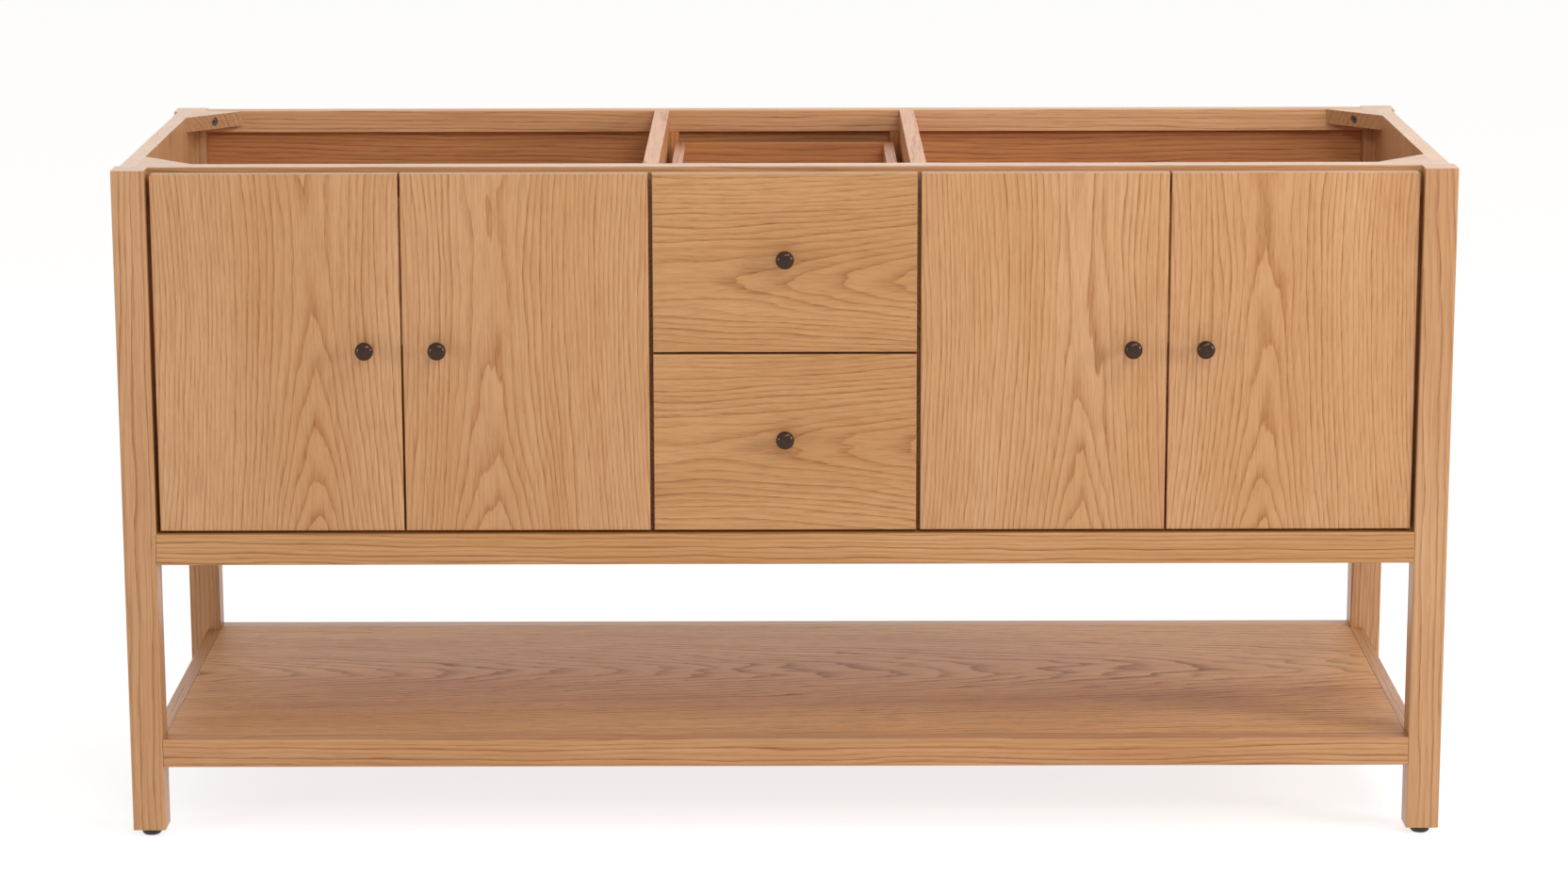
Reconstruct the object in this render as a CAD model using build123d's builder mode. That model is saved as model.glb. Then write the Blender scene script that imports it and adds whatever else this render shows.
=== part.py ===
from build123d import *
from math import sqrt
import os

# Double bathroom vanity cabinet in oak, open at the top for a counter with two basins.
# X runs along the front, Y from front to back and Z up, in millimetres.
# The origin is on the floor, under the middle of the whole box with the knobs.
# Depths (d) are measured back from the front of the legs, heights (z) from the floor.

# Carcass
width = 1524.0
depth = 546.0
height = 786.0
leg_size = 38.0
leg_ease = 2.0
edge_ease = 1.0
board = 18.0
side_inset = 5.0
tongue_thickness = 6.0
tongue_length = 8.0
apron_bottom = 327.5
apron_height = 36.0
apron_thickness = 22.0
front_rail_height = 34.0
front_rail_thickness = 25.0
rear_rail_height = 27.0
rear_rail_thickness = 22.0
rear_rail_inset = 11.0
back_thickness = 9.0
back_lap = 10.0
tenon_thickness = 10.0
tenon_length = 16.0
tenon_shoulder = 4.0
joint_play = 0.1
board_play = 0.5

# Corner blocks under the counter
block_leg = 62.0
bolt_dia = 6.0
bolt_head_dia = 10.0
bolt_head_length = 8.0
bolt_recess = 9.5
bolt_grip = 6.0
bolt_play = 0.2

# Bottom shelf and feet
shelf_top = 118.5
stretcher_height = 33.0
stretcher_thickness = 22.0
side_stretcher_thickness = 16.0
ledge_width = 10.0
glide_dia = 22.0
glide_height = 9.0
glide_bevel = 2.0
glide_stem_dia = 6.0
glide_stem_length = 18.0

# Doors and drawer fronts
front_recess = 6.0
front_thickness = 18.0
front_clearance = 4.0
front_ease = 1.5
front_corner = 3.0
front_top_gap = 5.0
front_bottom_gap = 3.0
door_side_gap = 4.5
door_pair_gap = 2.5
drawer_front_gap = 2.5
drawer_front_width = 301.0
bumper_dia = 10.0
bumper_play = 0.3
bumper_inset = 30.0

# Knobs
knob_dia = 21.0
knob_projection = 25.0
knob_head = 9.0
knob_round = 4.5
knob_bevel = 1.5
knob_stem_dia = 9.0
knob_foot_dia = 13.0
knob_foot = 3.0
knob_edge_inset = 40.0
knob_rise = 6.5

# Concealed cup hinges: u runs from the hinged edge of the door, v back from its face
hinge_inset = 75.0
pivot_u = 9.0
pivot_v = 8.5
pin_dia = 3.5
pin_length = 19.0
pin_fit = 0.02
knuckle_dia = 5.6
knuckle_fit = 0.05
cup_dia = 35.0
cup_depth = 13.3
cup_u = 21.5
cup_fit = 0.1
cup_flange = 1.2
cup_flange_dia = 38.0
cup_ear_width = 14.0
cup_ear_length = 62.0
cup_ear_offset = 5.5
cup_ear_round = 5.0
cup_screw_dia = 4.5
cup_screw_pitch = 48.0
pocket_floor = 0.8
pocket_play = 0.4
pocket_length = 31.0
arm_thickness = 2.0
arm_height = 12.0
arm_reach = 13.0
arm_bend = 2.5
arm_setback = 10.0
arm_tail = 50.0
arm_tail_u = 10.0
plate_overlap = 6.75
plate_length = 40.0
plate_height = 18.0
plate_wing_length = 14.0
plate_wing_height = 48.0
plate_round = 3.0
post_depth = 68.0

# Shelf in each basin bay
inner_shelf_top = 565.0
inner_shelf_front = 110.0
inner_shelf_depth = 290.0
inner_shelf_play = 1.0
shelf_pin_dia = 5.0
shelf_pin_in = 10.0
shelf_pin_out = 8.0
shelf_pin_inset = 40.0

# Drawer boxes and their undermount runners
box_side = 12.5
box_side_gap = 8.5
box_rear_gap = 25.0
box_rail_gap = 2.0
lower_box_drop = 27.5
lower_box_rise = 38.5
box_bottom = 6.0
box_groove = 5.0
box_recess = 12.0
cleat_width = 12.0
cleat_depth = 20.0
runner_end_gap = 4.0
runner_inset = 12.75
runner_wall = 1.5
runner_core = 12.0
runner_fit = 0.3
runner_drop = 2.5
runner_flange = 24.0

# Places that follow from the sizes above
knob_reach = knob_projection - front_recess
front_y = (knob_reach - depth) / 2
leg_inner = width / 2 - leg_size
rear_leg_d = depth - leg_size
side_outer = width / 2 - side_inset
side_inner = side_outer - board
apron_top = apron_bottom + apron_height
floor_bottom = apron_top - board
front_d0 = front_recess
front_d1 = front_d0 + front_thickness
frame_d = front_d1 + front_clearance
front_rail_rear = frame_d + front_rail_thickness
front_rail_bottom = height - front_rail_height
rear_rail_rear = depth - rear_rail_inset
rear_rail_front = rear_rail_rear - rear_rail_thickness
rear_rail_bottom = height - rear_rail_height
back_front = rear_rail_rear - back_thickness
stretcher_bottom = shelf_top - stretcher_height
shelf_bottom = shelf_top - board
front_bottom = apron_top + front_bottom_gap
front_top = height - front_top_gap
drawer_front_height = (front_top - front_bottom - drawer_front_gap) / 2
upper_front_bottom = front_top - drawer_front_height
lower_front_top = front_bottom + drawer_front_height
door_outer_x = leg_inner - door_side_gap
door_inner_x = drawer_front_width / 2 + door_side_gap
door_width = (door_outer_x - door_inner_x - door_pair_gap) / 2
partition_x = (drawer_front_width + door_side_gap) / 2
bay_face = partition_x + board / 2
drawer_bay_face = partition_x - board / 2
post_face = door_outer_x - plate_overlap
hinge_heights = (front_bottom + hinge_inset, front_top - hinge_inset)
box_outer = drawer_bay_face - box_side_gap
box_inner = box_outer - box_side
upper_box_top = front_rail_bottom - box_rail_gap
lower_box_top = lower_front_top - lower_box_drop
box_height = drawer_front_height - lower_box_drop - lower_box_rise
box_depth = back_front - cleat_depth - box_rear_gap - front_d1
box_rear = front_d1 + box_depth
runner_front = front_d1 + box_side + board_play
runner_length = box_rear - runner_end_gap - runner_front
runner_x = box_inner - runner_inset

sides = (("left", -1), ("right", 1))
# Each door: name, x of its hinged edge, and the way from there to its free edge
doors = []
for side, hand in sides:
    doors.append((f"door_outer_{side}", hand * door_outer_x, -hand))
    doors.append((f"door_inner_{side}", hand * door_inner_x, hand))
# Each drawer: name, lower and upper edge of its front, and the top of its box
drawers = (
    ("drawer_upper", upper_front_bottom, front_top, upper_box_top),
    ("drawer_lower", front_bottom, lower_front_top, lower_box_top),
)

os.makedirs("parts", exist_ok=True)


def save(builder, name):
    builder.part.label = name
    export_step(builder.part, f"parts/{name}.step")


# A rectangular block between two values of x, of depth and of height
def slab(x_span, d_span, z_span, mode=Mode.ADD):
    x0, x1 = sorted(x_span)
    d0, d1 = d_span
    z0, z1 = z_span
    with Locations(((x0 + x1) / 2, front_y + (d0 + d1) / 2, (z0 + z1) / 2)):
        Box(x1 - x0, d1 - d0, z1 - z0, mode=mode)


# The plan of one hinge, with u along its x and v along its y
def hinge_plane(hinge_x, way, z):
    return Plane((hinge_x, front_y + front_d0, z), x_dir=(way, 0, 0), z_dir=(0, 0, way))


# A plane on a face that looks to the back, at a depth
def rear_plane(x, d, z):
    return Plane((x, front_y + d, z), x_dir=(1, 0, 0), z_dir=(0, 1, 0))


# A tenon along X at both ends of a rail, or its mortise with play all round
def cross_tenon(hand, d_mid, z_span, mode=Mode.ADD, play=0.0):
    half = tenon_thickness / 2 + play
    slab(
        (hand * leg_inner, hand * (leg_inner + tenon_length + play)),
        (d_mid - half, d_mid + half),
        (z_span[0] + tenon_shoulder - play, z_span[1] - tenon_shoulder + play),
        mode,
    )


# A tenon along Y at both ends of a side stretcher, or its mortise
def side_tenon(hand, d_face, way, mode=Mode.ADD, play=0.0):
    x_mid = leg_inner + side_stretcher_thickness / 2
    half = tenon_thickness / 2 + play
    slab(
        (hand * (x_mid - half), hand * (x_mid + half)),
        sorted((d_face, d_face + way * (tenon_length + play))),
        (stretcher_bottom + tenon_shoulder - play, shelf_top - tenon_shoulder + play),
        mode,
    )


# The tongue on a side panel's upright edge, or its groove in the leg
def side_tongue(hand, d_face, way, mode=Mode.ADD, play=0.0):
    x_mid = (side_outer + side_inner) / 2
    half = tongue_thickness / 2 + play
    slab(
        (hand * (x_mid - half), hand * (x_mid + half)),
        sorted((d_face, d_face + way * (tongue_length + play))),
        (apron_bottom - play, height),
        mode,
    )


# The line of a rear corner bolt, from the slanted face of its block out towards the leg
def bolt_plane(hand):
    middle = (hand * (side_inner - block_leg / 2), front_y + rear_rail_front - block_leg / 2)
    return Plane((*middle, height - board / 2), x_dir=(0, 0, 1), z_dir=(hand, 1, 0))


apron_span = (apron_bottom, apron_top)
rear_rail_span = (rear_rail_bottom, height)
stretcher_span = (stretcher_bottom, shelf_top)
front_tenon_d = apron_thickness / 2
stretcher_tenon_d = stretcher_thickness / 2
rear_tenon_d = rear_rail_front + (rear_rail_thickness - back_thickness) / 2
bolt_to_leg = (rear_leg_d - rear_rail_front + block_leg / 2) * sqrt(2)
bolt_end = bolt_to_leg + bolt_grip

# Legs, with the mortises and grooves of what they hold
for side, hand in sides:
    for end in ("front", "rear"):
        in_front = end == "front"
        leg_d = (0.0, leg_size) if in_front else (rear_leg_d, depth)
        inner_d = leg_size if in_front else rear_leg_d
        way = -1 if in_front else 1
        with BuildPart() as leg:
            slab((hand * leg_inner, hand * width / 2), leg_d, (glide_height, height))
            fillet(leg.edges().filter_by(Axis.Z), leg_ease)
            side_tongue(hand, inner_d, way, Mode.SUBTRACT, joint_play)
            side_tenon(hand, inner_d, way, Mode.SUBTRACT, joint_play)
            if in_front:
                cross_tenon(hand, front_tenon_d, apron_span, Mode.SUBTRACT, joint_play)
                cross_tenon(hand, stretcher_tenon_d, stretcher_span, Mode.SUBTRACT, joint_play)
            else:
                cross_tenon(hand, rear_tenon_d, apron_span, Mode.SUBTRACT, joint_play)
                cross_tenon(hand, rear_tenon_d, rear_rail_span, Mode.SUBTRACT, joint_play)
                cross_tenon(hand, depth - stretcher_tenon_d, stretcher_span, Mode.SUBTRACT, joint_play)
                with BuildSketch(bolt_plane(hand)):
                    Circle((bolt_dia + bolt_play) / 2)
                extrude(amount=bolt_end + bolt_play, mode=Mode.SUBTRACT)
            stem_d = (leg_d[0] + leg_d[1]) / 2
            with Locations((hand * (width - leg_size) / 2, front_y + stem_d, glide_height)):
                Cylinder(
                    (glide_stem_dia + bolt_play) / 2,
                    glide_stem_length + joint_play,
                    align=(Align.CENTER, Align.CENTER, Align.MIN),
                    mode=Mode.SUBTRACT,
                )
        save(leg, f"leg_{end}_{side}")

# Glides under the legs, each a turned disc on a stem
with BuildPart() as foot_glides:
    glide_x = (width - leg_size) / 2
    glide_mid_y = front_y + depth / 2
    with Locations((0, glide_mid_y, 0)):
        with GridLocations(2 * glide_x, depth - leg_size, 2, 2):
            Cylinder(glide_dia / 2, glide_height, align=(Align.CENTER, Align.CENTER, Align.MIN))
            Cylinder(
                glide_stem_dia / 2,
                glide_height + glide_stem_length,
                align=(Align.CENTER, Align.CENTER, Align.MIN),
            )
    chamfer(foot_glides.edges().filter_by(GeomType.CIRCLE).group_by(Axis.Z)[0], glide_bevel)
save(foot_glides, "foot_glides")

# Rail across the top behind the doors, let in round the front legs
with BuildPart() as front_top_rail:
    slab((-side_inner, side_inner), (frame_d, front_rail_rear), (front_rail_bottom, height))
    fillet(front_top_rail.edges().filter_by(Axis.X).sort_by(Axis.Y)[:2], edge_ease)
    for side, hand in sides:
        leg_gap = (hand * leg_inner, hand * side_inner)
        slab(leg_gap, (frame_d, leg_size), (front_rail_bottom, height), Mode.SUBTRACT)
save(front_top_rail, "front_top_rail")

# Rail across the top at the back, rabbeted for the back panel
with BuildPart() as rear_top_rail:
    slab((-leg_inner, leg_inner), (rear_rail_front, rear_rail_rear), rear_rail_span)
    fillet(rear_top_rail.edges().filter_by(Axis.X).group_by(Axis.Y)[0], edge_ease)
    rabbet = (rear_rail_bottom, rear_rail_bottom + back_lap)
    slab((-leg_inner, leg_inner), (back_front, rear_rail_rear), rabbet, Mode.SUBTRACT)
    for side, hand in sides:
        cross_tenon(hand, rear_tenon_d, rear_rail_span)
save(rear_top_rail, "rear_top_rail")

# Aprons below the doors and at the back, grooved for the cabinet floor
floor_mid = (apron_top + floor_bottom) / 2
groove_half = tongue_thickness / 2 + joint_play
floor_groove = (floor_mid - groove_half, floor_mid + groove_half)
with BuildPart() as front_apron:
    slab((-leg_inner, leg_inner), (0, apron_thickness), apron_span)
    fillet(front_apron.edges().filter_by(Axis.X).group_by(Axis.Y)[0], edge_ease)
    groove_d = (apron_thickness - tongue_length - joint_play, apron_thickness)
    slab((-leg_inner, leg_inner), groove_d, floor_groove, Mode.SUBTRACT)
    for side, hand in sides:
        cross_tenon(hand, front_tenon_d, apron_span)
save(front_apron, "front_apron")

with BuildPart() as rear_apron:
    slab((-leg_inner, leg_inner), (rear_rail_front, rear_rail_rear), apron_span)
    rabbet = (apron_top - back_lap, apron_top)
    slab((-leg_inner, leg_inner), (back_front, rear_rail_rear), rabbet, Mode.SUBTRACT)
    groove_d = (rear_rail_front, rear_rail_front + tongue_length + joint_play)
    slab((-leg_inner, leg_inner), groove_d, floor_groove, Mode.SUBTRACT)
    for side, hand in sides:
        cross_tenon(hand, rear_tenon_d, apron_span)
save(rear_apron, "rear_apron")

# Shelf pins stand in the side panels and partitions at these depths
pin_depths = (
    inner_shelf_front + shelf_pin_inset,
    inner_shelf_front + inner_shelf_depth - shelf_pin_inset,
)
inner_shelf_bottom = inner_shelf_top - board
pin_z = inner_shelf_bottom - shelf_pin_dia / 2


# Shelf pins of one bay, or their holes with play all round
def bay_pins(hand, face_x, into, mode=Mode.ADD, play=0.0):
    out = shelf_pin_out if mode == Mode.ADD else 0.0
    middle = face_x + into * (shelf_pin_in + play - out) / 2
    for pin_d in pin_depths:
        with Locations(Location((hand * middle, front_y + pin_d, pin_z), (0, 90, 0))):
            Cylinder(shelf_pin_dia / 2 + play, shelf_pin_in + play + out, mode=mode)


# Side panels between the legs
for side, hand in sides:
    with BuildPart() as side_panel:
        panel_z = (apron_bottom, height)
        slab((hand * side_inner, hand * side_outer), (leg_size, rear_leg_d), panel_z)
        side_tongue(hand, leg_size, -1)
        side_tongue(hand, rear_leg_d, 1)
        bay_pins(hand, side_inner, 1, Mode.SUBTRACT, joint_play)
    save(side_panel, f"side_panel_{side}")

# Partitions beside the drawers, notched under both top rails
for side, hand in sides:
    partition_span = (hand * drawer_bay_face, hand * bay_face)
    with BuildPart() as partition:
        slab(partition_span, (frame_d, back_front), (apron_top, height))
        notch = (front_rail_bottom, height)
        slab(partition_span, (frame_d, front_rail_rear), notch, Mode.SUBTRACT)
        slab(partition_span, (rear_rail_front, back_front), rear_rail_span, Mode.SUBTRACT)
        bay_pins(hand, bay_face, -1, Mode.SUBTRACT, joint_play)
    save(partition, f"partition_{side}")

# Floor of the cabinet, tongued into both aprons and cut round the legs
with BuildPart() as cabinet_floor:
    slab((-side_inner, side_inner), (apron_thickness, rear_rail_front), (floor_bottom, apron_top))
    for side, hand in sides:
        leg_gap = (hand * (leg_inner - joint_play), hand * side_inner)
        front_notch = (apron_thickness, leg_size + joint_play)
        rear_notch = (rear_leg_d - joint_play, rear_rail_front)
        slab(leg_gap, front_notch, (floor_bottom, apron_top), Mode.SUBTRACT)
        slab(leg_gap, rear_notch, (floor_bottom, apron_top), Mode.SUBTRACT)
    tongue_x = (joint_play - leg_inner, leg_inner - joint_play)
    tongue_z = (floor_mid - tongue_thickness / 2, floor_mid + tongue_thickness / 2)
    slab(tongue_x, (apron_thickness - tongue_length, apron_thickness), tongue_z)
    slab(tongue_x, (rear_rail_front, rear_rail_front + tongue_length), tongue_z)
save(cabinet_floor, "cabinet_floor")

# Back panel in the rear rabbets
with BuildPart() as back_panel:
    panel_z = (apron_top - back_lap + joint_play, rear_rail_bottom + back_lap - joint_play)
    slab((board_play - leg_inner, leg_inner - board_play), (back_front, rear_rail_rear), panel_z)
save(back_panel, "back_panel")

# Triangular blocks in the four top corners, the rear ones bored for their bolts
block_z = (height - board, height)
with BuildPart() as corner_blocks:
    for side, hand in sides:
        for corner_d, way in ((front_rail_rear, 1), (rear_rail_front, -1)):
            with BuildSketch(Plane.XY.offset(height - board)):
                with BuildLine():
                    Polyline(
                        (hand * side_inner, front_y + corner_d),
                        (hand * (side_inner - block_leg), front_y + corner_d),
                        (hand * side_inner, front_y + corner_d + way * block_leg),
                        close=True,
                    )
                make_face()
            extrude(amount=board)
        leg_gap = (hand * (leg_inner - joint_play), hand * side_inner)
        slab(leg_gap, (rear_leg_d - joint_play, rear_rail_front), block_z, Mode.SUBTRACT)
        with BuildSketch(bolt_plane(hand)):
            Circle((bolt_dia + bolt_play) / 2)
        extrude(amount=bolt_end, mode=Mode.SUBTRACT)
        with BuildSketch(bolt_plane(hand)):
            Circle((bolt_head_dia + bolt_play) / 2)
        extrude(amount=bolt_recess, mode=Mode.SUBTRACT)
save(corner_blocks, "corner_blocks")

with BuildPart() as corner_bolts:
    for side, hand in sides:
        with BuildSketch(bolt_plane(hand).offset(bolt_recess - bolt_head_length)):
            Circle(bolt_head_dia / 2)
        extrude(amount=bolt_head_length)
        with BuildSketch(bolt_plane(hand).offset(bolt_recess)):
            Circle(bolt_dia / 2)
        extrude(amount=bolt_end - bolt_recess)
save(corner_bolts, "corner_bolts")

# Posts behind the front legs that carry the outer doors' hinges
with BuildPart() as hinge_posts:
    for side, hand in sides:
        post_d = (leg_size, leg_size + post_depth)
        slab((hand * post_face, hand * side_inner), post_d, (apron_top, front_rail_bottom))
save(hinge_posts, "hinge_posts")

# Upright cleats in the rear corners of the drawer bay
with BuildPart() as drawer_bay_cleats:
    for side, hand in sides:
        cleat_x = (hand * (drawer_bay_face - cleat_width), hand * drawer_bay_face)
        cleat_d = (back_front - cleat_depth, back_front)
        slab(cleat_x, cleat_d, (apron_top, rear_rail_bottom))
save(drawer_bay_cleats, "drawer_bay_cleats")

# Loose shelves in the basin bays, on pins
with BuildPart() as interior_shelves:
    for side, hand in sides:
        shelf_x = (hand * (bay_face + inner_shelf_play), hand * (side_inner - inner_shelf_play))
        shelf_d = (inner_shelf_front, inner_shelf_front + inner_shelf_depth)
        slab(shelf_x, shelf_d, (inner_shelf_bottom, inner_shelf_top))
    fillet(interior_shelves.edges().filter_by(Axis.X).group_by(Axis.Y)[0], edge_ease)
save(interior_shelves, "interior_shelves")

with BuildPart() as shelf_pins:
    for side, hand in sides:
        bay_pins(hand, side_inner, 1)
        bay_pins(hand, bay_face, -1)
save(shelf_pins, "shelf_pins")

# Stretchers of the bottom shelf, each with a ledge that the shelf lies on
ledge_span = (stretcher_bottom, shelf_bottom)
with BuildPart() as shelf_front_stretcher:
    slab((-leg_inner, leg_inner), (0, stretcher_thickness), stretcher_span)
    fillet(shelf_front_stretcher.edges().filter_by(Axis.X).group_by(Axis.Y)[0], edge_ease)
    ledge_d = (stretcher_thickness, stretcher_thickness + ledge_width)
    slab((-leg_inner, leg_inner), ledge_d, ledge_span)
    for side, hand in sides:
        cross_tenon(hand, stretcher_tenon_d, stretcher_span)
save(shelf_front_stretcher, "shelf_front_stretcher")

with BuildPart() as shelf_rear_stretcher:
    slab((-leg_inner, leg_inner), (depth - stretcher_thickness, depth), stretcher_span)
    fillet(shelf_rear_stretcher.edges().filter_by(Axis.X).group_by(Axis.Y)[-1], edge_ease)
    ledge_d = (depth - stretcher_thickness - ledge_width, depth - stretcher_thickness)
    slab((-leg_inner, leg_inner), ledge_d, ledge_span)
    for side, hand in sides:
        cross_tenon(hand, depth - stretcher_tenon_d, stretcher_span)
save(shelf_rear_stretcher, "shelf_rear_stretcher")

side_stretcher_outer = leg_inner + side_stretcher_thickness
with BuildPart() as shelf_side_stretchers:
    for side, hand in sides:
        stretcher_d = (leg_size, rear_leg_d)
        slab((hand * leg_inner, hand * side_stretcher_outer), stretcher_d, stretcher_span)
        slab((hand * (leg_inner - ledge_width), hand * leg_inner), stretcher_d, ledge_span)
        side_tenon(hand, leg_size, -1)
        side_tenon(hand, rear_leg_d, 1)
save(shelf_side_stretchers, "shelf_side_stretchers")

with BuildPart() as bottom_shelf:
    shelf_d = (stretcher_thickness + board_play, depth - stretcher_thickness - board_play)
    slab((board_play - leg_inner, leg_inner - board_play), shelf_d, (shelf_bottom, shelf_top))
save(bottom_shelf, "bottom_shelf")

# Soft discs on the front rail that the doors and the upper drawer close against
with BuildPart() as door_bumpers:
    bumper_length = front_clearance - bumper_play
    bumper_z = (front_rail_bottom + front_top) / 2
    bumper_x = [drawer_front_width / 2 - bumper_inset]
    bumper_x.append(door_outer_x - door_width + bumper_inset)
    bumper_x.append(door_inner_x + door_width - bumper_inset)
    for side, hand in sides:
        for x in bumper_x:
            with BuildSketch(rear_plane(hand * x, frame_d, bumper_z)):
                Circle(bumper_dia / 2)
            extrude(amount=-bumper_length)
save(door_bumpers, "door_bumpers")

# Hinge arms: a flat strip from the knuckle in the cup, out over the door's edge to its plate
arm_corner_v = front_thickness + arm_setback
arm_tail_v = arm_corner_v + arm_tail
with BuildPart() as hinge_arms:
    for name, hinge_x, way in doors:
        for z in hinge_heights:
            with BuildSketch(hinge_plane(hinge_x, way, z)):
                with BuildLine():
                    FilletPolyline(
                        (pivot_u, pivot_v),
                        (pivot_u + arm_reach, pivot_v),
                        (pivot_u + arm_reach, arm_corner_v),
                        (arm_tail_u, arm_corner_v),
                        (arm_tail_u, arm_tail_v),
                        radius=arm_bend,
                    )
                trace(line_width=arm_thickness)
                with Locations((pivot_u, pivot_v)):
                    Circle(knuckle_dia / 2)
                    Circle(pin_dia / 2 + knuckle_fit, mode=Mode.SUBTRACT)
            extrude(amount=arm_height / 2, both=True)
save(hinge_arms, "hinge_arms")

# Plates between the arms' tails and the partition or post, with a wing above and below
plate_thickness = arm_tail_u - arm_thickness / 2 - plate_overlap
with BuildPart() as hinge_mounting_plates:
    for name, hinge_x, way in doors:
        plate_x = hinge_x + way * plate_overlap
        plate_y = front_y + front_d0 + arm_tail_v - plate_length / 2
        for z in hinge_heights:
            with BuildSketch(Plane((plate_x, plate_y, z), x_dir=(0, 1, 0), z_dir=(way, 0, 0))):
                RectangleRounded(plate_length, plate_height, plate_round)
                RectangleRounded(plate_wing_length, plate_wing_height, plate_round)
            extrude(amount=plate_thickness)
save(hinge_mounting_plates, "hinge_mounting_plates")


# A knob turned about the line out of a front, its rim rounded in two bevels
def turned_knob(x, z):
    face_y = front_y + front_d0
    neck_end = knob_projection - knob_head
    rim = knob_dia / 2
    rim_step = knob_round * (1 - sqrt(1 / 2))
    with BuildPart() as knob:
        with BuildSketch(Plane((x, face_y, z), x_dir=(1, 0, 0), z_dir=(0, 0, 1))):
            with BuildLine():
                Polyline(
                    (0, 0),
                    (knob_foot_dia / 2, 0),
                    (knob_foot_dia / 2, -knob_foot / 2),
                    (knob_stem_dia / 2, -knob_foot),
                    (knob_stem_dia / 2, -neck_end),
                    (rim - knob_bevel, -neck_end),
                    (rim, -neck_end - knob_bevel),
                    (rim, knob_round - knob_projection),
                    (rim - rim_step, rim_step - knob_projection),
                    (rim - knob_round, -knob_projection),
                    (0, -knob_projection),
                    close=True,
                )
            make_face()
        revolve(axis=Axis((x, face_y, z), (0, 1, 0)))
    return knob


# Doors: panel, hinge cups and pins, and knob
for name, hinge_x, way in doors:
    free_x = hinge_x + way * door_width
    outer = "outer" in name
    cup_x = hinge_x + way * cup_u
    with BuildPart() as door:
        slab((hinge_x, free_x), (front_d0, front_d1), (front_bottom, front_top))
        if outer:
            top_corners = door.edges().filter_by(Axis.Y).group_by(Axis.Z)[-1].sort_by(Axis.X)
            fillet(top_corners[0 if hinge_x < 0 else -1], front_corner)
        fillet(door.faces().sort_by(Axis.Y)[0].edges(), front_ease)
        for z in hinge_heights:
            with BuildSketch(rear_plane(cup_x, front_d1, z)):
                Circle(cup_dia / 2 + cup_fit)
            extrude(amount=-cup_depth - cup_fit, mode=Mode.SUBTRACT)
    save(door, name)

    with BuildPart() as hinge_cups:
        pocket_half = arm_height / 2 + pocket_play
        pocket_u = pivot_u - knuckle_dia / 2 - pocket_play
        pocket_v = front_thickness - cup_depth + pocket_floor
        for z in hinge_heights:
            with BuildSketch(rear_plane(cup_x, front_d1, z)):
                Circle(cup_dia / 2)
            extrude(amount=-cup_depth)
            with BuildSketch(rear_plane(cup_x, front_d1, z)):
                Circle(cup_flange_dia / 2)
                with Locations((way * cup_ear_offset, 0)):
                    RectangleRounded(cup_ear_width, cup_ear_length, cup_ear_round)
                    with GridLocations(0, cup_screw_pitch, 1, 2):
                        Circle(cup_screw_dia / 2, mode=Mode.SUBTRACT)
            extrude(amount=cup_flange)
            with BuildSketch(hinge_plane(hinge_x, way, z)):
                with Locations((pocket_u, pocket_v)):
                    pocket_rise = front_thickness + cup_flange - pocket_v
                    Rectangle(pocket_length, pocket_rise, align=(Align.MIN, Align.MIN))
            extrude(amount=pocket_half, both=True, mode=Mode.SUBTRACT)
            with BuildSketch(hinge_plane(hinge_x, way, z)):
                with Locations((pivot_u, pivot_v)):
                    Circle(pin_dia / 2 + pin_fit)
            extrude(amount=pin_length / 2 + pin_fit, both=True, mode=Mode.SUBTRACT)
    save(hinge_cups, f"{name}_hinge_cups")

    with BuildPart() as hinge_pins:
        for z in hinge_heights:
            with BuildSketch(hinge_plane(hinge_x, way, z)):
                with Locations((pivot_u, pivot_v)):
                    Circle(pin_dia / 2)
            extrude(amount=pin_length / 2, both=True)
    save(hinge_pins, f"{name}_hinge_pins")

    knob_z = (front_bottom + front_top) / 2 + knob_rise
    save(turned_knob(free_x - way * knob_edge_inset, knob_z), f"{name}_knob")


# Profile of one runner channel, open below, about its middle line
def channel(x, z_low, z_high, outer, wall):
    with Locations((x, z_low)):
        Rectangle(outer, z_high - z_low, align=(Align.CENTER, Align.MIN))
        inner_height = z_high - z_low - wall
        hollow = (Align.CENTER, Align.MIN)
        Rectangle(outer - 2 * wall, inner_height, align=hollow, mode=Mode.SUBTRACT)


# A plane across the runners, with x along X and y up
def runner_plane(d):
    return Plane((0, front_y + d, 0), x_dir=(1, 0, 0), z_dir=(0, -1, 0))


middle_width = runner_core + 2 * (runner_fit + runner_wall)
outer_width = middle_width + 2 * (runner_fit + runner_wall)
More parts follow.
